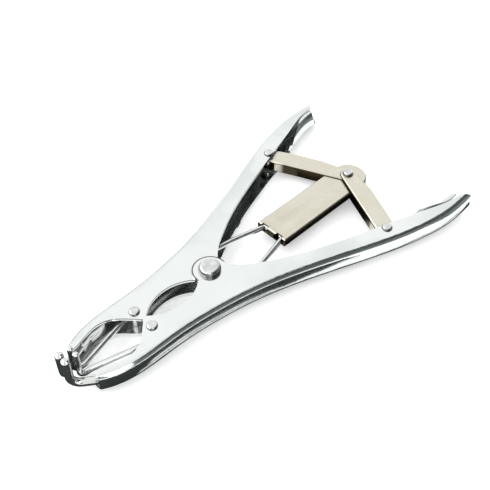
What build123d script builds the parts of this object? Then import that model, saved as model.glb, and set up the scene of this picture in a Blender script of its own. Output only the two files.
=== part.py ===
"""Ring applicator pliers: two pressed channel levers, a toggle linkage and four ring-spreading prongs.

Frame: +X toward the prongs, +Y toward the left lever, +Z up, millimetres. The origin is on the
main pivot axis at the underside of its lower head, which is the face the tool rests on.
"""
from build123d import *
import os

os.makedirs("parts", exist_ok=True)

# ---- driving dimensions -------------------------------------------------
SHEET = 1.5                # lever sheet thickness
LEVER_H = 11.2             # lever channel height over both flanges
EDGE_R = 3.0               # outer bend radius of the channel
REST_HEAD_H = 1.6          # lower head of the main rivet, under the right lever
LEVER_STEP = SHEET + 0.1   # the left lever sits one sheet higher than the right one
GAP = 0.1                  # working gap between stacked faces
RUN = 0.05                 # radial clearance of a running or slip fit

Z_RIGHT = REST_HEAD_H                      # underside of the right lever
Z_LEFT = Z_RIGHT + LEVER_STEP              # underside of the left lever
Z_MID = (Z_RIGHT + Z_LEFT + LEVER_H) / 2   # mid plane of the whole tool

PIVOT_R = 3.5
PIVOT_HEAD_R = 5.75
PIVOT_HEAD_H = 3.2
PIVOT_HEAD_EDGE_R = 2.0
PIVOT_BUSH_R = 5.5
LUG_R = 9.2                # round lug of each flange about the main pivot

GUIDE_X, GUIDE_Y = 43.4, 6.8
SMALL_RIVET_R = 1.5
SMALL_HEAD_R = 2.8
SMALL_HEAD_H = 1.2
HEAD_ROUNDING = 0.72       # edge radius of a rivet head as a share of its height
GUIDE_SLEEVE_R = 1.9

LINK_X, LINK_Y = -87.2, 43.7
KNEE_X = -107.3
LINK_SHEET = 0.9
LINK_STEP = LINK_SHEET + 0.1
LINK_H = 7.4
LINK_FRONT, LINK_REAR = 4.6, 6.2           # edges of the link plate either side of its pivot line
LINK_FOLD_R = 1.3
LINK_WALL = (28.5, 43.0)                   # stretch of the link that has its front wall
LINK_PLAY_R = 2.35                         # open hole of the link round the lever rivet
LINK_RIVET_R = 1.6
LINK_BUSH_R = 2.7
Z_LINK_RIGHT = Z_RIGHT + LEVER_H - SHEET - GAP - LINK_H
Z_LINK_LEFT = Z_LINK_RIGHT + LINK_STEP

KNEE_R = 1.8
KNEE_HEAD_R = 2.9
KNEE_HEAD_H = 1.5
KNEE_BUSH_R = 3.4

BOX_SHEET = 0.7
BOX_FRONT_X = -44.4
BOX_HALF_W = 10.0
BOX_TAIL_X = KNEE_X - 1.0                  # centre of the round tail
Z_BOX = Z_LINK_LEFT + LINK_SHEET + GAP
BOX_H = Z_LINK_RIGHT + LINK_H - LINK_SHEET - GAP - Z_BOX
BOX_FOLD_R = 1.0
NOTCH_R = 3.6                              # arched notch for a rod, through the front fold
NOTCH_Y, NOTCH_Z = 5.2, Z_MID - 0.7
NOTCH_DEPTH = 1.7

ROD_R = 1.45
ROD_X, ROD_Y = -48.1, 5.8                  # headed rear end of each rod inside the crosshead
ROD_HEAD_R = 2.9
ROD_HEAD_EDGE_R = 0.4
ROD_ELBOW = (8.6, 19.7)
ROD_BENDS = [170.0, 6, 3.6]                # bend radii: long bend, toe, prong
ROD_CROWN_R = 0.9
ROD_TOE_X = 76.5                           # where the two rods become parallel
REAR_PRONG_X, REAR_PRONG_Y = 82.2, 2.1
REAR_PRONG_TOP = 25.6

FRONT_BAR_R = 2.1
FRONT_PRONG_X, FRONT_PRONG_Y = 87.8, 2.3
FRONT_PRONG_TOP = 26.4
FRONT_BENDS = [20, 10, 5.5]                # bend radii from the lever to the prong
FRONT_CROWN_R = 1.5
SHANK = [(57, 12.7), (57, 16.8), (66, 15.6), (73.4, 12.9), (72, 9.6), (66, 11.8)]   # plan of the shank
SHANK_EDGE_R = 1.2

TIP_X = 79.0
GRIP_X = -101.0                            # where the flat channel starts to close into the grip
HANDLE_END_X = -141.0

# Plan of one lever on the +Y side.
OUTER_EDGE = [(TIP_X, 12.9), (66, 17.7), (52, 19.0), (34, 19.3), (14, 21.3), (-10, 25.9),
              (-40, 35.4), (-64, 44.6), (-84, 52.0), (GRIP_X, 57.0)]
TOP_JAW_EDGE = [(TIP_X + 1, 8.9), (70, 11.2), (61, 12.8), (54.5, 10.9), (48.5, 5.8), (45, 2.2)]
LOW_JAW_EDGE = [(TIP_X + 1, 6.8), (69, 9.6), (60, 10.9), (54, 8.7), (49, 4.0), (46.5, 1.6)]
NOSE_TOP = (42.8, 0.3)
NOSE_LOW = (43.6, 0.3)
LENS_START, LENS_MID, LENS_END = (40.6, 1.2), (25.0, 7.2), (9.1, 1.45)
TOP_REAR_EDGE = [(-6.0, 0.0), (-14.2, 9.0), (-26.5, 17.1), (-38, 23.1), (-52, 29.0), (-76, 37.6),
                 (GRIP_X, 46.0)]
LOW_REAR_EDGE = [(-6.0, 0.0), (-14.2, 8.0), (-24, 13.5), (-44, 22.4), (-66, 30.2), (GRIP_X, 40.9)]

GRIP_STEP = 0.05                           # the grip starts this far inside the channel's skin
GRIP_CORNER_R = 4.5                        # rounded lower corner of the grip's end
MOUTH_AT = (HANDLE_END_X + 7, 50, 6)       # a point on the oblique cut across the end of the curl
MOUTH_FACES = (-0.7, -0.65, 0.3)           # the way that the cut faces: back, inward and up

# Grip stations: x, outer face y, inner edge of the top flange y, centre of the curl y,
# bend radius, curl radius, curl angle.
GRIP = [
    (GRIP_X, 57.0, 46.0, 41.9, 3.12, 4.9, 12),
    (-107, 58.5, 47.9, 48.3, 3.1, 5.0, 80),
    (-113, 59.9, 50.0, 50.4, 3.5, 5.3, 128),
    (-122, 61.2, 53.2, 53.1, 4.0, 5.5, 166),
    (-132, 61.4, 55.4, 54.6, 4.2, 5.5, 174),
    (HANDLE_END_X, 60.7, 57.0, 56.6, 3.4, 5.3, 174),
]


def drum(x, y, z, radius, height):
    """Upright cylinder standing on height z."""
    return Pos(x, y, z) * Cylinder(radius, height, align=(Align.CENTER, Align.CENTER, Align.MIN))


def prism(edges, z, height):
    """Straight solid on a closed outline of edges."""
    return Pos(0, 0, z) * extrude(make_face(edges), height)


def chain(*points):
    """Straight edges joining points."""
    return [Line(a, b) for a, b in zip(points, points[1:])]


def offset_points(curve, distance, count):
    """Points set off to the side of a plan curve."""
    points = []
    for i in range(count):
        p = curve @ (i / (count - 1))
        t = curve % (i / (count - 1))
        points.append((p.X - t.Y * distance, p.Y + t.X * distance))
    return points


def inner_edges(jaw, nose, rear):
    """Inner outline of one flange: jaw opening, contact nose, lens opening, then along the handle."""
    return [
        Spline(*jaw),
        ThreePointArc(jaw[-1], nose, LENS_START),
        ThreePointArc(LENS_START, LENS_MID, LENS_END),
        Line(LENS_END, rear[0]),
        Spline(*rear),
    ]


def flange_trim(jaw, nose, rear, z, height):
    """Everything inside the flange outline, leaving the round lug."""
    edges = inner_edges(jaw, nose, rear)
    edges += chain(rear[-1], (GRIP_X, -15), (jaw[0][0], -15), jaw[0])
    return prism(edges, z, height) - drum(0, 0, z - 1, LUG_R, height + 2)


def channel():
    """Front part of a lever: a channel open toward the centre, from the tip to the grip."""
    outer = Spline(*OUTER_EDGE)
    blank = prism([outer] + chain(OUTER_EDGE[-1], (GRIP_X, -12), (TIP_X, -12), OUTER_EDGE[0]), 0, LEVER_H)
    bends = [e for e in blank.edges() if e.geom_type == GeomType.BSPLINE]
    blank = fillet(bends, EDGE_R)
    web = offset_points(outer, SHEET, 9)
    first = (TIP_X + 3, web[0][1] - 1.4)
    last = (GRIP_X - 3, web[-1][1] + 1.1)
    web_curve = Spline(first, *web[1:-1], last)
    outline = [web_curve] + chain(last, (GRIP_X - 3, -20), (TIP_X + 3, -20), first)
    hollow = prism(outline, SHEET, LEVER_H - 2 * SHEET)
    hollow = fillet([e for e in hollow.edges() if e.geom_type == GeomType.BSPLINE], EDGE_R - SHEET)
    half = LEVER_H / 2
    return (blank - hollow
            - flange_trim(TOP_JAW_EDGE, NOSE_TOP, TOP_REAR_EDGE, half, half + 1)
            - flange_trim(LOW_JAW_EDGE, NOSE_LOW, LOW_REAR_EDGE, -1, half + 1))


def grip_section(x, outer, top, curl_y, bend_r, curl_r, angle):
    """Cross-section of the grip: a channel whose lower flange curls up toward the upper one."""
    def wall(inset):
        r = bend_r - inset
        rc = curl_r - inset
        c = curl_r
        end = Vector(curl_y, c) + Vector(0, -rc).rotate(Axis.Z, -angle)
        mid = Vector(curl_y, c) + Vector(0, -rc).rotate(Axis.Z, -angle / 2)
        y, h = outer - inset, LEVER_H - inset
        k = r * 0.70711
        corner_t, corner_b = (y - r + k, h - r + k), (y - r + k, inset + r - k)
        return [
            Line((top, h), (y - r, h)),
            ThreePointArc((y - r, h), corner_t, (y, h - r)),
            Line((y, h - r), (y, inset + r)),
            ThreePointArc((y, inset + r), corner_b, (y - r, inset)),
            Line((y - r, inset), (curl_y, inset)),
            ThreePointArc((curl_y, inset), (mid.X, mid.Y), (end.X, end.Y)),
        ], (end.X, end.Y)
    step = GRIP_STEP if x == GRIP_X else 0.0
    outside, lip_out = wall(step)
    inside, lip_in = wall(SHEET - step)
    flange_edge = Line((top, LEVER_H - step), (top, LEVER_H - SHEET + step))
    face = make_face(outside + inside + [Line(lip_out, lip_in), flange_edge])
    return Plane(origin=(x, 0, 0), x_dir=(0, 1, 0), z_dir=(1, 0, 0)) * face


def grip_corner():
    """What is cut away to round the lower corner of the grip's end."""
    r, middle = GRIP_CORNER_R, GRIP[-1][3]
    corner = Pos(HANDLE_END_X - 1 + (r + 1) / 2, middle, (r - 1) / 2) * Box(r + 1, 30, r + 1)
    return corner - Pos(HANDLE_END_X + r, middle, r) * Rot(90, 0, 0) * Cylinder(r, 32)


def grip_mouth():
    """Oblique cut that opens the end of the curl toward the inside."""
    cut = Box(40, 40, 20, align=(Align.CENTER, Align.CENTER, Align.MIN))
    return Plane(origin=MOUTH_AT, z_dir=MOUTH_FACES) * cut


def lever():
    """One pressed lever on the +Y side, standing on z = 0."""
    grip = loft([grip_section(*station) for station in GRIP])
    body = channel() + (grip - grip_corner() - grip_mouth())
    body -= drum(0, 0, -1, PIVOT_R + RUN, LEVER_H + 2)
    body -= drum(GUIDE_X, GUIDE_Y, -1, SMALL_RIVET_R + RUN, LEVER_H + 2)
    body -= drum(LINK_X, LINK_Y, -1, LINK_RIVET_R + RUN, LEVER_H + 2)
    return body


def ring(x, y, z, outer, inner, height):
    """Upright tube."""
    return drum(x, y, z, outer, height) - drum(x, y, z - 1, inner, height + 2)


def rivet(x, y, low, top, shank_r, head_r, head_h):
    """Rivet through faces at low and top, with a rounded head on each."""
    upper = drum(x, y, top, head_r, head_h)
    upper = fillet(upper.edges().sort_by(Axis.Z)[-1], head_h * HEAD_ROUNDING)
    lower = drum(x, y, low - head_h, head_r, head_h)
    lower = fillet(lower.edges().sort_by(Axis.Z)[0], head_h * HEAD_ROUNDING)
    return drum(x, y, low - 0.1, shank_r, top - low + 0.2) + upper + lower


def bent_path(points, radii):
    """Wire through points with each inner corner rounded."""
    at = Vector(*points[0])
    edges = []
    for i, radius in enumerate(radii, start=1):
        corner = Vector(*points[i])
        back = (Vector(*points[i - 1]) - corner).normalized()
        ahead = (Vector(*points[i + 1]) - corner).normalized()
        half = (back + ahead).length / 2               # cosine of half the inside angle
        tangent = radius * half / (1 - half * half) ** 0.5
        start, end = corner + back * tangent, corner + ahead * tangent
        centre_line = (back + ahead).normalized()
        middle = corner + centre_line * (radius / (1 - half * half) ** 0.5 - radius)
        edges += [Line(at, start), ThreePointArc(start, middle, end)]
        at = end
    return Wire(edges + [Line(at, Vector(*points[-1]))])


def round_bar(points, radii, radius, crown):
    """Round wire bent along a path, its far end crowned."""
    path = bent_path(points, radii)
    bar = sweep(Plane(origin=path @ 0, z_dir=path % 0) * Circle(radius), path=path)
    end = bar.edges().filter_by(GeomType.CIRCLE).sort_by(Axis.Z)[-1]
    return fillet(end, crown)


def front_prong(base):
    """Bar held in the lever tip by a flat-sided shank, then bent up into a prong."""
    foot = (FRONT_PRONG_X, FRONT_PRONG_Y, Z_MID)
    bar = round_bar([(58, 14.9, Z_MID), (68, 13.2, Z_MID), (78.2, 9.1, Z_MID), foot,
                     (FRONT_PRONG_X, FRONT_PRONG_Y, FRONT_PRONG_TOP)],
                    FRONT_BENDS, FRONT_BAR_R, FRONT_CROWN_R)
    shank = prism(chain(*SHANK, SHANK[0]), base + SHEET + RUN, LEVER_H - 2 * (SHEET + RUN))
    levels = shank.edges().group_by(Axis.Z)
    return bar + fillet(levels[0] + levels[-1], SHANK_EDGE_R)


def prong_rod():
    """Pull rod: flat round head in the crosshead, long bend round the pivot, rear prong."""
    rod = round_bar([(ROD_X, ROD_Y, Z_MID), (*ROD_ELBOW, Z_MID), (ROD_TOE_X, REAR_PRONG_Y, Z_MID),
                     (REAR_PRONG_X, REAR_PRONG_Y, Z_MID), (REAR_PRONG_X, REAR_PRONG_Y, REAR_PRONG_TOP)],
                    ROD_BENDS, ROD_R, ROD_CROWN_R)
    head = drum(ROD_X, ROD_Y, Z_MID - ROD_R, ROD_HEAD_R, 2 * ROD_R)
    return rod + fillet(head.edges(), ROD_HEAD_EDGE_R)


def link_at(along, front):
    """Plan position from a distance along the link and a distance to its front side."""
    pivot = Vector(LINK_X - KNEE_X, LINK_Y)
    ex = pivot.normalized()
    return (KNEE_X + ex.X * along + ex.Y * front, ex.Y * along - ex.X * front)


def link(base):
    """Toggle link: two plates joined by a front wall near the lever end."""
    length = Vector(LINK_X - KNEE_X, LINK_Y).length
    end_r = LINK_FRONT
    arc_start = link_at(length - 2, -end_r + 0.3)
    outline = [
        ThreePointArc(link_at(0, end_r), link_at(-end_r, 0), link_at(-0.4, -end_r)),
        *chain(link_at(-0.4, -end_r), link_at(12, -LINK_REAR), link_at(33, -LINK_REAR),
               link_at(43, -LINK_REAR + 0.6), arc_start),
        ThreePointArc(arc_start, link_at(length + end_r, -0.6), link_at(length, end_r)),
        Line(link_at(length, end_r), link_at(0, end_r)),
    ]
    body = prism(outline, base, LINK_H)
    front_edges = [e for e in body.edges().filter_by(GeomType.LINE) if e.length > 45]
    body = fillet(front_edges, LINK_FOLD_R)
    start, stop = LINK_WALL
    inside = LINK_FRONT - LINK_SHEET
    corners = [(-8, 8), (start, 8), (start, inside), (stop, inside), (stop, 8), (60, 8), (60, -12), (-8, -12)]
    plan = [link_at(*corner) for corner in corners]
    hollow = prism(chain(*plan, plan[0]), base + LINK_SHEET, LINK_H - 2 * LINK_SHEET)
    body -= hollow
    body -= drum(KNEE_X, 0, base - 1, KNEE_R + RUN, LINK_H + 2)
    return body - drum(LINK_X, LINK_Y, base - 1, LINK_PLAY_R, LINK_H + 2)


def box_plan(inset, z, height, front=0.0):
    """Crosshead outline: square front, round tail."""
    x, w = BOX_FRONT_X - inset + front, BOX_HALF_W - inset
    edges = chain((BOX_TAIL_X, w), (x, w), (x, -w), (BOX_TAIL_X, -w))
    edges.append(ThreePointArc((BOX_TAIL_X, -w), (BOX_TAIL_X - w, 0), (BOX_TAIL_X, w)))
    return prism(edges, z, height)


def crosshead():
    """Folded tray, open below, with a notch in its front fold for each rod."""
    z, height = Z_BOX + BOX_SHEET, BOX_H - BOX_SHEET
    tray = box_plan(0, z, height)
    tray = fillet(tray.faces().sort_by(Axis.Z)[-1].edges(), BOX_FOLD_R)
    hollow = box_plan(BOX_SHEET, z - 1, height + 1 - BOX_SHEET)
    tray -= fillet(hollow.faces().sort_by(Axis.Z)[-1].edges(), BOX_FOLD_R - BOX_SHEET).solid()
    for y in (NOTCH_Y, -NOTCH_Y):
        tray -= Pos(BOX_FRONT_X, y, NOTCH_Z) * Rot(0, 90, 0) * Cylinder(NOTCH_R, 2 * NOTCH_DEPTH)
        tray -= Pos(BOX_FRONT_X, y, Z_BOX) * Box(3, 2 * NOTCH_R, 2 * (NOTCH_Z - Z_BOX))
    return tray - drum(KNEE_X, 0, z - 1, KNEE_R + RUN, height + 2)


def cover():
    """Flat plate closing the tray from below."""
    return box_plan(0, Z_BOX, BOX_SHEET - 0.05) - drum(KNEE_X, 0, Z_BOX - 1, KNEE_R + RUN, 4)


def main_rivet():
    """Headed pin through both levers; its lower head is the face the tool rests on."""
    top = Z_LEFT + LEVER_H
    head = drum(0, 0, top, PIVOT_HEAD_R, PIVOT_HEAD_H)
    head = fillet(head.edges().sort_by(Axis.Z)[-1], PIVOT_HEAD_EDGE_R)
    foot = drum(0, 0, 0, PIVOT_HEAD_R, REST_HEAD_H)
    foot = chamfer(foot.edges().sort_by(Axis.Z)[0], 0.4)
    return drum(0, 0, 0.5, PIVOT_R, top) + head + foot


def save(name, shape):
    """Write one node."""
    export_step(shape, f"parts/{name}.step")


def flip(shape):
    """The same piece on the right-hand side."""
    return mirror(shape, about=Plane.XZ)


lever_shape = lever()
save("lever_left", Pos(0, 0, Z_LEFT) * lever_shape)
save("lever_right", Pos(0, 0, Z_RIGHT) * flip(lever_shape))
save("front_prong_left", front_prong(Z_LEFT))
save("front_prong_right", flip(front_prong(Z_RIGHT)))
save("main_rivet", main_rivet())
inner_low, inner_top = Z_LEFT + SHEET, Z_RIGHT + LEVER_H - SHEET
main_bush_h = inner_top - inner_low - 2 * GAP
save("main_bush", ring(0, 0, inner_low + GAP, PIVOT_BUSH_R, PIVOT_R + RUN, main_bush_h))

sleeve_h = LEVER_H - 2 * (SHEET + RUN)
sleeve = ring(GUIDE_X, GUIDE_Y, SHEET + RUN, GUIDE_SLEEVE_R, SMALL_RIVET_R + RUN, sleeve_h)
guide = rivet(GUIDE_X, GUIDE_Y, 0, LEVER_H, SMALL_RIVET_R, SMALL_HEAD_R, SMALL_HEAD_H)
lever_pin = rivet(LINK_X, LINK_Y, 0, LEVER_H, LINK_RIVET_R, SMALL_HEAD_R, SMALL_HEAD_H)
for name, shape in (("guide_sleeve", sleeve), ("guide_rivet", guide), ("link_rivet", lever_pin)):
    save(f"{name}_left", Pos(0, 0, Z_LEFT) * shape)
    save(f"{name}_right", Pos(0, 0, Z_RIGHT) * flip(shape))

bush_h = LINK_H - 2 * LINK_SHEET - 2 * GAP
bush = ring(LINK_X, LINK_Y, LINK_SHEET + GAP, LINK_BUSH_R, LINK_RIVET_R + RUN, bush_h)
save("link_bush_left", Pos(0, 0, Z_LINK_LEFT) * bush)
save("link_bush_right", Pos(0, 0, Z_LINK_RIGHT) * flip(bush))
save("link_left", link(Z_LINK_LEFT))
save("link_right", flip(link(Z_LINK_RIGHT)))

save("prong_rod_left", prong_rod())
save("prong_rod_right", flip(prong_rod()))
save("crosshead_tray", crosshead())
save("crosshead_cover", cover())
save("knee_rivet", rivet(KNEE_X, 0, Z_LINK_RIGHT, Z_LINK_LEFT + LINK_H, KNEE_R, KNEE_HEAD_R, KNEE_HEAD_H))
knee_bush_h = BOX_H - 2 * BOX_SHEET - 2 * RUN
save("knee_bush", ring(KNEE_X, 0, Z_BOX + BOX_SHEET + RUN, KNEE_BUSH_R, KNEE_R + RUN, knee_bush_h))
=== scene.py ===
"""Ring applicator pliers: looks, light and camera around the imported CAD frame. Units are metres."""
import math

import bpy
from mathutils import Matrix, Vector


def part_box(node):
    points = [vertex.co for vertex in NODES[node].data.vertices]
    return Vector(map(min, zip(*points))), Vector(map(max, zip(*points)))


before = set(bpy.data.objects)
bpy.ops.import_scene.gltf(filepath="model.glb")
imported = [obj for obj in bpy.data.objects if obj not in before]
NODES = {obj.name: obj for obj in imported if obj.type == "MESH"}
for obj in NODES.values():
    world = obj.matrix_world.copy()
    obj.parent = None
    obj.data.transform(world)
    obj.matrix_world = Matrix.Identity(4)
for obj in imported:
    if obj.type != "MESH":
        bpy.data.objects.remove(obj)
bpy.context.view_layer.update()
MM = 0.001

# ---- camera ---------------------------------------------------------------------
CAMERA_AZIMUTH = 135.3
CAMERA_ELEVATION = 46.8
CAMERA_ROLL = 0.26
CAMERA_DISTANCE = 0.4207
CAMERA_TARGET = Vector((-0.0330, -0.0083, 0.0016))
CAMERA_LENS = 57.25             # mm, on a 36 mm sensor
CAMERA_SENSOR = 36

# ---- places on the tool -----------------------------------------------------------
LEVER_TOP = {node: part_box(node)[1].z for node in ("lever_left", "lever_right")}
LINK_TOP = {node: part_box(node)[1].z for node in ("link_left", "link_right")}
TIP_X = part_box("lever_left")[1].x
LUG_R = 9.2 * MM                # round lug of the lever flanges about the main pivot
LUG_LINE_INSET = 0.3 * MM       # how far inside the lug's edge its painted shadow line runs
HEAD_GROOVE_R = 2.3 * MM        # groove turned in the main rivet's head
HEAD_RING_PITCH = 0.32 * MM     # turning marks round that groove
REFLECTION_PATCH_Y = 36 * MM        # painted reflection: a lighter patch on the upright wall of each link, where the painted shade is lifted

# ---- studio -----------------------------------------------------------------------
FLOOR_SIZE = 4.0
FLOOR_GLOW = 0.35               # the paper is lit a little from below, which lightens the shadows
SKY_COLOUR = (0.985, 1.0, 0.99, 1.0)
LAMPS = [                       # name, place, size, watts; none stands where the levers' tops mirror it
    ("key", (0.55, -0.95, 1.1), (1.2, 0.9), 8),
    ("rim", (0.9, -0.2, 0.9), (0.6, 0.5), 3),
]

# ---- dark and white things that only the plating mirrors --------------------------
FLAG_ARC = (48, 182)            # degrees from +X, round the left lever's side of the table
FLAG_PROFILE = [(0.90, 0.03), (0.90, 0.80), (0.48, 1.25)]       # radius and height of the flag's rows
TIP_CARD = [                    # corners, with X counted from the left lever's tip
    (-0.020, 0.14, 0.035),
    (0.045, 0.14, 0.035),
    (0.045, 0.07, 0.16),
    (-0.035, 0.07, 0.16),
]
TIP_CARD_GLOW = 0.9
CLOTH_HEIGHT = 0.3 * MM         # black cloths lie on the table
STRIPS = [                      # narrow cloths along each lever: name, offsets of the inner and outer side
    ("under", -9.0 * MM, 3.9 * MM),
    ("thin", 4.5 * MM, 5.0 * MM),
]
GRIP_OVERRUN = (14 * MM, 1 * MM)        # how far the strips run on past the grip's end, and bend in there
WIDE_OFFSET = 5.7 * MM          # a wide cloth starts this far outside the lever
WIDE_REACH = 90 * MM            # and runs out to here
WIDE_FADE = (-30 * MM, -72 * MM)        # it draws away from the lever past the first X and ends at the second
WIDE_DRAW = 4 * MM              # how far it has drawn away at its end
WIDE_TAPER = 50 * MM            # length in X, from that end, over which it widens to its full reach
WIDE_NOSE = (50 * MM, 20 * MM)  # toward the tips it closes up from this X on, over this length
WIDE_CLOSING = 3 * MM           # how far it has closed up by then
MIDDLE_CLOTH = (2 * MM, 4 * MM, 22 * MM)        # run behind and ahead of the crosshead, and half width
FRONT_CLOTH = (6 * MM, 60 * MM, 60 * MM)        # run behind and ahead of the levers' tips, and half width


class Nodes:
    """Small helper that builds one shader node tree. Noise scales are per metre, distances in metres."""

    def __init__(self, name):
        self.material = bpy.data.materials.new(name)
        self.material.use_nodes = True
        self.tree = self.material.node_tree
        self.tree.nodes.clear()
        self.output = self.tree.nodes.new("ShaderNodeOutputMaterial")
        self.bsdf = self.tree.nodes.new("ShaderNodeBsdfPrincipled")
        self.link(self.bsdf.outputs["BSDF"], self.output.inputs["Surface"])
        self.position = self.tree.nodes.new("ShaderNodeTexCoord").outputs["Object"]

    def link(self, source, target):
        self.tree.links.new(source, target)

    def put(self, socket, value):
        """Set a socket to a number or colour, or link it to another socket."""
        if isinstance(value, bpy.types.NodeSocket):
            self.link(value, socket)
        else:
            socket.default_value = value

    def shader(self, **values):
        """Set the shader's inputs, each named as on the node but in lower case and with underscores."""
        for name, value in values.items():
            self.put(self.bsdf.inputs[name.replace("_", " ").title()], value)

    def stretch(self, scale):
        """Object coordinates scaled along each axis."""
        node = self.tree.nodes.new("ShaderNodeMapping")
        self.link(self.position, node.inputs["Vector"])
        node.inputs["Scale"].default_value = scale
        return node.outputs["Vector"]

    def noise(self, scale, detail=4.0, roughness=0.55, vector=None, distortion=0.0):
        node = self.tree.nodes.new("ShaderNodeTexNoise")
        self.link(vector or self.position, node.inputs["Vector"])
        node.inputs["Scale"].default_value = scale
        node.inputs["Detail"].default_value = detail
        node.inputs["Roughness"].default_value = roughness
        node.inputs["Distortion"].default_value = distortion
        return node.outputs["Fac"]

    def cells(self, scale):
        """Distance to the nearest of many scattered points."""
        node = self.tree.nodes.new("ShaderNodeTexVoronoi")
        self.link(self.position, node.inputs["Vector"])
        node.inputs["Scale"].default_value = scale
        return node.outputs["Distance"]

    def math(self, operation, a, b=0.0):
        node = self.tree.nodes.new("ShaderNodeMath")
        node.operation = operation
        self.put(node.inputs[0], a)
        self.put(node.inputs[1], b)
        return node.outputs[0]

    def times(self, a, b):
        return self.math("MULTIPLY", a, b)

    def plus(self, a, b):
        return self.math("ADD", a, b)

    def apart(self, a, b):
        """How far two values are from each other."""
        return self.math("ABSOLUTE", self.math("SUBTRACT", a, b))

    def span(self, value, low, high, to_low=0.0, to_high=1.0):
        """Map a stretch of values smoothly onto another, clamped."""
        node = self.tree.nodes.new("ShaderNodeMapRange")
        node.interpolation_type = "SMOOTHSTEP"
        self.put(node.inputs["Value"], value)
        node.inputs["From Min"].default_value = low
        node.inputs["From Max"].default_value = high
        node.inputs["To Min"].default_value = to_low
        node.inputs["To Max"].default_value = to_high
        return node.outputs["Result"]

    def mix(self, fac, a, b):
        """Mix two colours."""
        node = self.tree.nodes.new("ShaderNodeMix")
        node.data_type = "RGBA"
        self.put(node.inputs["Factor"], fac)
        self.put(node.inputs[6], a)
        self.put(node.inputs[7], b)
        return node.outputs[2]

    def cover(self, base, mask, strength, colour):
        """Lay a colour over another where the mask is 1, as far as the strength says."""
        return self.mix(self.times(mask, strength), base, colour)

    def hollows(self, distance, deep, clear):
        """1 in corners and hollows, 0 in open places, by how much of the view is clear within a distance."""
        node = self.tree.nodes.new("ShaderNodeAmbientOcclusion")
        node.samples = 12
        node.inputs["Distance"].default_value = distance
        return self.span(node.outputs["AO"], deep, clear, 1.0, 0.0)

    def geometry(self, output):
        return self.tree.nodes.new("ShaderNodeNewGeometry").outputs[output]

    def edge_wear_and_sheen(self, high, low=0.515):
        """0 where the mesh is flat or hollow, 1 where its points are sharply convex; edges lightened by it
        stand for wear and a painted highlight.
        """
        return self.span(self.geometry("Pointiness"), low, high)

    def facing(self):
        """1 on faces looking straight up, 0 on upright ones, -1 on faces looking down."""
        _, _, z = self.split(self.geometry("True Normal"))
        return z

    def steepness(self, low=0.45, high=0.97):
        """0 on level faces, 1 on upright ones."""
        return self.span(self.math("ABSOLUTE", self.facing()), low, high, 1.0, 0.0)

    def split(self, vector):
        node = self.tree.nodes.new("ShaderNodeSeparateXYZ")
        self.link(vector, node.inputs[0])
        return node.outputs[0], node.outputs[1], node.outputs[2]

    def pivot_radius(self):
        """Distance from the axis of the main pivot, which stands at the origin."""
        x, y, _ = self.split(self.position)
        return self.math("SQRT", self.plus(self.times(x, x), self.times(y, y)))

    def bump(self, height, distance, strength=1.0, below=None):
        node = self.tree.nodes.new("ShaderNodeBump")
        node.inputs["Strength"].default_value = strength
        node.inputs["Distance"].default_value = distance
        self.put(node.inputs["Height"], height)
        if below is not None:
            self.link(below, node.inputs["Normal"])
        return node.outputs["Normal"]


def rgb(r, g, b):
    return (r, g, b, 1.0)


# ---- materials ----------------------------------------------------------------------
STEEL_PAINTED_SHADE = rgb(0.06, 0.065, 0.065)   # painted shade on the upright sides of rivet heads, and painted shadow along the edge of the pivot lug


def plated_lever(name, top, upper=False):
    """Bright zinc and chrome plate over pressed sheet: soft waves, fine polish lines, painted shade in the
    hollows.
    """
    dull, clear, wear_and_sheen = rgb(0.77, 0.80, 0.79), rgb(0.84, 0.87, 0.86), rgb(0.95, 0.96, 0.96)
    hollow_shade, rim_dark_reflection = rgb(0.070, 0.090, 0.086), rgb(0.030, 0.036, 0.035)
    m = Nodes(name)
    clouds = m.noise(38, 5, 0.6)
    lines = m.noise(900, 3, 0.6, m.stretch((0.06, 1, 1)))
    pits = m.cells(1400)
    hollow = m.hollows(9 * MM, 0.25, 0.85)
    plate = m.mix(m.span(clouds, 0.35, 0.7), dull, clear)
    # painted shade: the hollows are darkened toward grey-green
    plate = m.cover(plate, hollow, 0.85, hollow_shade)
    # edges lightened: partly wear, partly a painted highlight
    plate = m.cover(plate, m.edge_wear_and_sheen(0.56), 0.6, wear_and_sheen)
    _, _, z = m.split(m.position)
    # painted reflection: a dark line along the top of the upright cut edges
    sheet_edge = m.times(m.steepness(0.1, 0.4), m.span(z, top - 0.85 * MM, top - 0.45 * MM))
    plate = m.cover(plate, sheet_edge, 0.9, rim_dark_reflection)
    if upper:
        # painted shadow along the lug's edge, where it lies over the lower lever
        plate = m.cover(plate, lug_line(m, top), 0.9, STEEL_PAINTED_SHADE)
    rough = m.plus(m.span(clouds, 0.3, 0.75, 0.09, 0.15), m.span(lines, 0.4, 0.8, 0.0, 0.05))
    rough = m.plus(rough, m.times(hollow, 0.22))
    waves = m.bump(m.noise(55, 2, 0.4), 0.25 * MM, 0.3)
    grain = m.bump(lines, 0.02 * MM, 0.35, waves)
    normal = m.bump(m.span(pits, 0.0, 0.12), 0.01 * MM, 0.2, grain)
    m.shader(base_color=plate, metallic=m.span(hollow, 0.2, 1.0, 1.0, 0.60), roughness=rough, normal=normal)
    return m.material


def lug_line(m, top):
    """Mask of the painted contact shadow along the edge of the upper lever's round lug, where it lies over
    the lower lever.
    """
    _, y, z = m.split(m.position)
    off = m.apart(m.pivot_radius(), LUG_R - LUG_LINE_INSET)
    line = m.times(m.span(off, 0.25 * MM, 0.5 * MM, 1.0, 0.0), m.span(y, 0.0, 2 * MM, 1.0, 0.0))
    return m.times(line, m.span(z, top - 0.3 * MM, top - 0.1 * MM))


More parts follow.
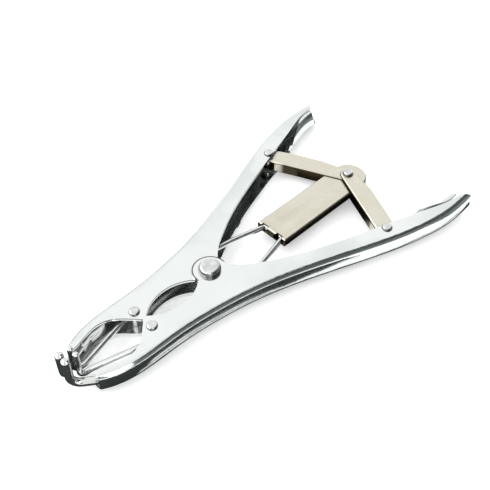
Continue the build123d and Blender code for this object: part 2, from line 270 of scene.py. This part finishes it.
def satin_nickel(name, link_top=None):
    """Warm nickel plate over stamped sheet: rolled grain, painted brown shade on the sides and inside a link.
    """
    dull, clear, speckled = rgb(0.695, 0.645, 0.535), rgb(0.775, 0.735, 0.635), rgb(0.56, 0.48, 0.36)
    wear_and_sheen, side_shade, hollow_shade = rgb(0.90, 0.86, 0.78), rgb(0.030, 0.021, 0.008), rgb(0.045, 0.032, 0.014)
    m = Nodes(name)
    stain = m.noise(70, 6, 0.62, distortion=0.4)
    grain = m.noise(1500, 3, 0.7, m.stretch((0.12, 1, 1)))
    speck = m.noise(650, 5, 0.65)
    plate = m.mix(m.span(stain, 0.35, 0.7), dull, clear)
    plate = m.mix(m.span(speck, 0.55, 0.75, 0.0, 0.3), plate, speckled)
    # edges lightened: partly wear, partly a painted highlight
    plate = m.cover(plate, m.edge_wear_and_sheen(0.57), 0.25, wear_and_sheen)
    _, y, z = m.split(m.position)
    # painted shade: upright faces, and faces inside a link below its top that do not look down, turn dark
    # brown
    shaded = m.steepness()
    if link_top is not None:
        below_top = m.span(z, link_top - 3 * MM, link_top - 2 * MM, 1.0, 0.0)
        shaded = m.math("MAXIMUM", shaded, m.times(below_top, m.span(m.facing(), -0.5, 0.0)))
    # painted reflection: the painted shade is lifted in a band at the patch's distance out from the middle
    off_patch = m.apart(m.math("ABSOLUTE", y), REFLECTION_PATCH_Y)
    plate = m.mix(m.times(shaded, m.span(off_patch, 1.5 * MM, 4.5 * MM, 0.2, 0.97)), plate, side_shade)
    # painted shade: the hollows, and the space between a link's plates, are darkened toward brown
    plate = m.cover(plate, m.hollows(10 * MM, 0.45, 0.85), 0.92, hollow_shade)
    rough = m.plus(m.span(grain, 0.3, 0.8, 0.24, 0.36), m.span(stain, 0.3, 0.8, 0.0, 0.08))
    normal = m.bump(speck, 0.03 * MM, 0.3, m.bump(grain, 0.03 * MM, 0.5))
    m.shader(base_color=plate, metallic=1.0, roughness=rough, normal=normal)
    return m.material


def prong_wire():
    """Bright plated wire with drawing marks along it."""
    m = Nodes("prong_wire")
    drawn = m.noise(1200, 2, 0.6, m.stretch((0.03, 1, 1)))
    clouds = m.noise(120, 4, 0.6)
    plate = m.mix(m.span(clouds, 0.35, 0.7), rgb(0.76, 0.77, 0.76), rgb(0.86, 0.87, 0.86))
    # painted shade in the hollows
    plate = m.cover(plate, m.hollows(5 * MM, 0.2, 0.8), 0.75, rgb(0.12, 0.13, 0.13))
    rough = m.plus(m.span(clouds, 0.3, 0.7, 0.10, 0.18), m.span(drawn, 0.4, 0.8, 0.0, 0.08))
    normal = m.bump(drawn, 0.03 * MM, 0.5, m.bump(clouds, 0.1 * MM, 0.3))
    m.shader(base_color=plate, metallic=1.0, roughness=rough, normal=normal)
    return m.material


def rivet_steel(name, turned=False):
    """Plated rivet head: peened dimples and, on the turned main rivet, faint rings and a groove."""
    m = Nodes(name)
    dimples = m.noise(420, 2, 0.5)
    fine = m.noise(2200, 3, 0.6)
    plate = m.mix(m.span(dimples, 0.35, 0.7), rgb(0.66, 0.67, 0.67), rgb(0.84, 0.85, 0.84))
    # painted shade on the upright sides of the head
    plate = m.cover(plate, m.steepness(), 0.85, STEEL_PAINTED_SHADE)
    # painted shade in the hollows
    plate = m.cover(plate, m.hollows(3 * MM, 0.25, 0.85), 0.85, rgb(0.10, 0.105, 0.105))
    rough = m.plus(m.span(dimples, 0.3, 0.7, 0.14, 0.24), m.span(fine, 0.3, 0.7, 0.0, 0.06))
    normal = m.bump(dimples, 0.10 * MM, 0.45, m.bump(fine, 0.01 * MM, 0.4))
    if turned:
        radius = m.pivot_radius()
        rings = m.math("SINE", m.times(radius, 2 * math.pi / HEAD_RING_PITCH))
        normal = m.bump(rings, 0.006 * MM, 0.4, normal)
        groove = m.span(m.apart(radius, HEAD_GROOVE_R), 0.0, 0.45 * MM)
        normal = m.bump(groove, 0.06 * MM, 0.6, normal)
    m.shader(base_color=plate, metallic=1.0, roughness=rough, normal=normal)
    return m.material


def bush_steel():
    """Turned steel: fine tool rings up the side, patchy oily tone, and painted shade in the corners."""
    m = Nodes("bush_steel")
    rings = m.noise(2600, 2, 0.5, m.stretch((0.05, 0.05, 1)))
    oil = m.noise(300, 4, 0.6)
    steel = m.mix(m.span(oil, 0.35, 0.7), rgb(0.50, 0.50, 0.49), rgb(0.70, 0.70, 0.68))
    # painted shade in the corners
    steel = m.cover(steel, m.hollows(4 * MM, 0.3, 0.9), 0.6, rgb(0.12, 0.115, 0.10))
    rough = m.plus(m.span(rings, 0.3, 0.7, 0.2, 0.32), m.span(oil, 0.4, 0.8, 0.0, 0.08))
    m.shader(base_color=steel, metallic=1.0, roughness=rough, normal=m.bump(rings, 0.02 * MM, 0.5))
    return m.material


def floor_paper():
    """Matt white studio paper."""
    m = Nodes("floor_paper")
    fibre = m.noise(600, 4, 0.6)
    tone = m.mix(fibre, rgb(0.93, 0.93, 0.93), rgb(0.95, 0.95, 0.95))
    m.shader(base_color=tone, roughness=0.9, normal=m.bump(fibre, 0.02 * MM, 0.2),
             emission_color=rgb(1.0, 1.0, 1.0), emission_strength=FLOOR_GLOW)
    return m.material


def flag_cloth():
    """Dark flag, greyer toward the table, in soft folds."""
    m = Nodes("flag_cloth")
    _, _, z = m.split(m.position)
    folds = m.noise(3.0, 3, 0.6, m.stretch((1, 1, 0.2)))
    grey = m.plus(m.span(z, 0.05, 0.9, 0.16, 0.035), m.span(folds, 0.4, 0.7, 0.0, 0.05))
    m.shader(base_color=m.mix(grey, rgb(0.0, 0.0, 0.0), rgb(0.90, 1.0, 0.97)), roughness=1.0)
    return m.material


def table_cloth():
    """Black cloth with a faint green weave."""
    m = Nodes("table_cloth")
    weave = m.noise(90, 3, 0.6)
    m.shader(base_color=m.mix(weave, rgb(0.012, 0.014, 0.014), rgb(0.035, 0.042, 0.040)), roughness=1.0)
    return m.material


def card_paper():
    """White card that glows by itself; only the plating sees it."""
    white = rgb(0.95, 0.97, 0.96)
    m = Nodes("tip_card")
    m.shader(base_color=white, roughness=0.8, emission_color=white, emission_strength=TIP_CARD_GLOW)
    return m.material


# ---- dressing the CAD nodes -----------------------------------------------------------
CLOTH = table_cloth()
LEVERS = {
    "lever_left": plated_lever("upper_lever", LEVER_TOP["lever_left"], upper=True),
    "lever_right": plated_lever("lower_lever", LEVER_TOP["lever_right"]),
}
NICKEL, WIRE, BUSH = satin_nickel("crosshead_nickel"), prong_wire(), bush_steel()
LINKS = {node: satin_nickel(node + "_nickel", top) for node, top in LINK_TOP.items()}
PIVOT_HEAD = rivet_steel("pivot_head", turned=True)
SMALL_HEAD = rivet_steel("small_head")


def finish_of(node):
    """The material of a CAD node, told by its name."""
    if node in LEVERS:
        return LEVERS[node]
    if node in LINKS:
        return LINKS[node]
    if node.startswith(("front_prong", "prong_rod")):
        return WIRE
    if node.startswith("crosshead"):
        return NICKEL
    if "bush" in node or "sleeve" in node:
        return BUSH
    return PIVOT_HEAD if node == "main_rivet" else SMALL_HEAD


for node in NODES:
    mesh = NODES[node].data
    mesh.materials.clear()
    mesh.materials.append(finish_of(node))


# ---- studio ---------------------------------------------------------------------------
def add_mesh(name, vertices, faces, material):
    mesh = bpy.data.meshes.new(name)
    mesh.from_pydata(vertices, [], faces)
    mesh.materials.append(material)
    obj = bpy.data.objects.new(name, mesh)
    bpy.context.scene.collection.objects.link(obj)
    return obj


def floor():
    h = FLOOR_SIZE / 2
    corners = [(-h, -h, 0), (h, -h, 0), (h, h, 0), (-h, h, 0)]
    obj = add_mesh("floor", corners, [(0, 1, 2, 3)], floor_paper())


def only_mirrored(obj):
    """Seen in reflections alone."""
    obj.visible_camera = False
    obj.visible_diffuse = False
    obj.visible_shadow = False


def flags(count=24):
    """Arc of dark flags that stands round one side of the table and leans over it."""
    low, high = (math.radians(a) for a in FLAG_ARC)
    arc = [low + (high - low) * i / count for i in range(count + 1)]
    vertices = [(r * math.cos(a), r * math.sin(a), z) for r, z in FLAG_PROFILE for a in arc]
    row = count + 1
    faces = [(k * row + i, k * row + i + 1, (k + 1) * row + i + 1, (k + 1) * row + i)
             for k in range(len(FLAG_PROFILE) - 1) for i in range(count)]
    only_mirrored(add_mesh("flags", vertices, faces, flag_cloth()))


def outline(node, side, count=36):
    """Points along the outer edge of a lever in plan, from the grip to the tip, with Y counted outward."""
    points = [NODES[node].matrix_world @ v.co for v in NODES[node].data.vertices]
    low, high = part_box(node)
    step = (high.x - low.x) / count
    edge = []
    for i in range(count):
        slab = [p for p in points if low.x + i * step <= p.x <= low.x + (i + 1) * step]
        if slab:
            outermost = max(slab, key=lambda p: side * p.y)
            edge.append((outermost.x, side * outermost.y))
    (x, y), (dx, dy) = edge[0], GRIP_OVERRUN
    return [(x - dx, y - dy)] + edge


def strip(name, side, inner, outer):
    """Cloth on the table between two rows of points beside a lever."""
    count = len(inner)
    vertices = [(x, side * y, CLOTH_HEIGHT) for x, y in inner + outer]
    faces = [(i, i + 1, count + i + 1, count + i) for i in range(count - 1)]
    only_mirrored(add_mesh(name, vertices, faces, CLOTH))


def sheet(name, rear, front, half):
    """Rectangular cloth on the table, centred across the tool."""
    corners = [(rear, -half), (front, -half), (front, half), (rear, half)]
    only_mirrored(add_mesh(name, [(x, y, CLOTH_HEIGHT) for x, y in corners], [(0, 1, 2, 3)], CLOTH))


def share(value, start, length):
    """How far a value has gone along a stretch, from 0 to 1."""
    return min(max((value - start) / length, 0.0), 1.0)


def wide_start(x):
    """How far outside the lever a wide cloth starts: close at the jaws, drawn away toward the grip."""
    begin, end = WIDE_FADE
    return WIDE_OFFSET + WIDE_DRAW * share(x, begin, end - begin) - WIDE_CLOSING * share(x, *WIDE_NOSE)


def wide_end(x):
    """How far outside the lever a wide cloth ends."""
    return max(wide_start(x), WIDE_REACH * share(x, WIDE_FADE[1], WIDE_TAPER))


def table_cloths():
    """Black cloths along each lever, under the crosshead and round the prongs."""
    for side, node in ((1, "lever_left"), (-1, "lever_right")):
        edge = outline(node, side)
        for name, inner, outer in STRIPS:
            rows = [[(x, y + offset) for x, y in edge] for offset in (inner, outer)]
            strip(name + "_" + node, side, *rows)
        front = [(x, y) for x, y in edge if x > WIDE_FADE[1]]
        rows = [[(x, y + offset(x)) for x, y in front] for offset in (wide_start, wide_end)]
        strip("wide_" + node, side, *rows)
    low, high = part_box("crosshead_tray")
    behind, ahead, half = MIDDLE_CLOTH
    sheet("cloth_middle", low.x - behind, high.x + ahead, half)
    behind, ahead, half = FRONT_CLOTH
    sheet("cloth_front", TIP_X - behind, TIP_X + ahead, half)


def tip_card():
    """White card beyond the left lever's tip, which its bend mirrors."""
    corners = [(TIP_X + x, y, z) for x, y, z in TIP_CARD]
    only_mirrored(add_mesh("tip_card", corners, [(0, 1, 2, 3)], card_paper()))


def soft_light(name, location, size, power):
    """Rectangular lamp aimed at the tool."""
    lamp = bpy.data.lights.new(name, "AREA")
    lamp.shape = "RECTANGLE"
    lamp.size, lamp.size_y = size
    lamp.energy = power
    obj = bpy.data.objects.new(name, lamp)
    obj.location = location
    obj.rotation_mode = "QUATERNION"
    obj.rotation_quaternion = (-Vector(location)).to_track_quat("-Z", "Y")
    bpy.context.scene.collection.objects.link(obj)


def sky():
    world = bpy.data.worlds.new("studio")
    world.use_nodes = True
    background = world.node_tree.nodes["Background"]
    background.inputs["Color"].default_value = SKY_COLOUR
    background.inputs["Strength"].default_value = 1.0
    bpy.context.scene.world = world


def camera():
    a, e = math.radians(CAMERA_AZIMUTH), math.radians(CAMERA_ELEVATION)
    back = Vector((math.sin(a) * math.cos(e), -math.cos(a) * math.cos(e), math.sin(e)))
    data = bpy.data.cameras.new("camera")
    data.lens = CAMERA_LENS
    data.sensor_width = CAMERA_SENSOR
    data.clip_start = 0.01
    obj = bpy.data.objects.new("camera", data)
    turn = (-back).to_track_quat("-Z", "Y").to_matrix() @ Matrix.Rotation(math.radians(CAMERA_ROLL), 3, "Z")
    obj.matrix_world = Matrix.Translation(CAMERA_TARGET + back * CAMERA_DISTANCE) @ turn.to_4x4()
    bpy.context.scene.collection.objects.link(obj)
    bpy.context.scene.camera = obj


floor()
flags()
table_cloths()
tip_card()
sky()
for lamp in LAMPS:
    soft_light(*lamp)
camera()
bpy.context.scene.view_settings.view_transform = "Standard"
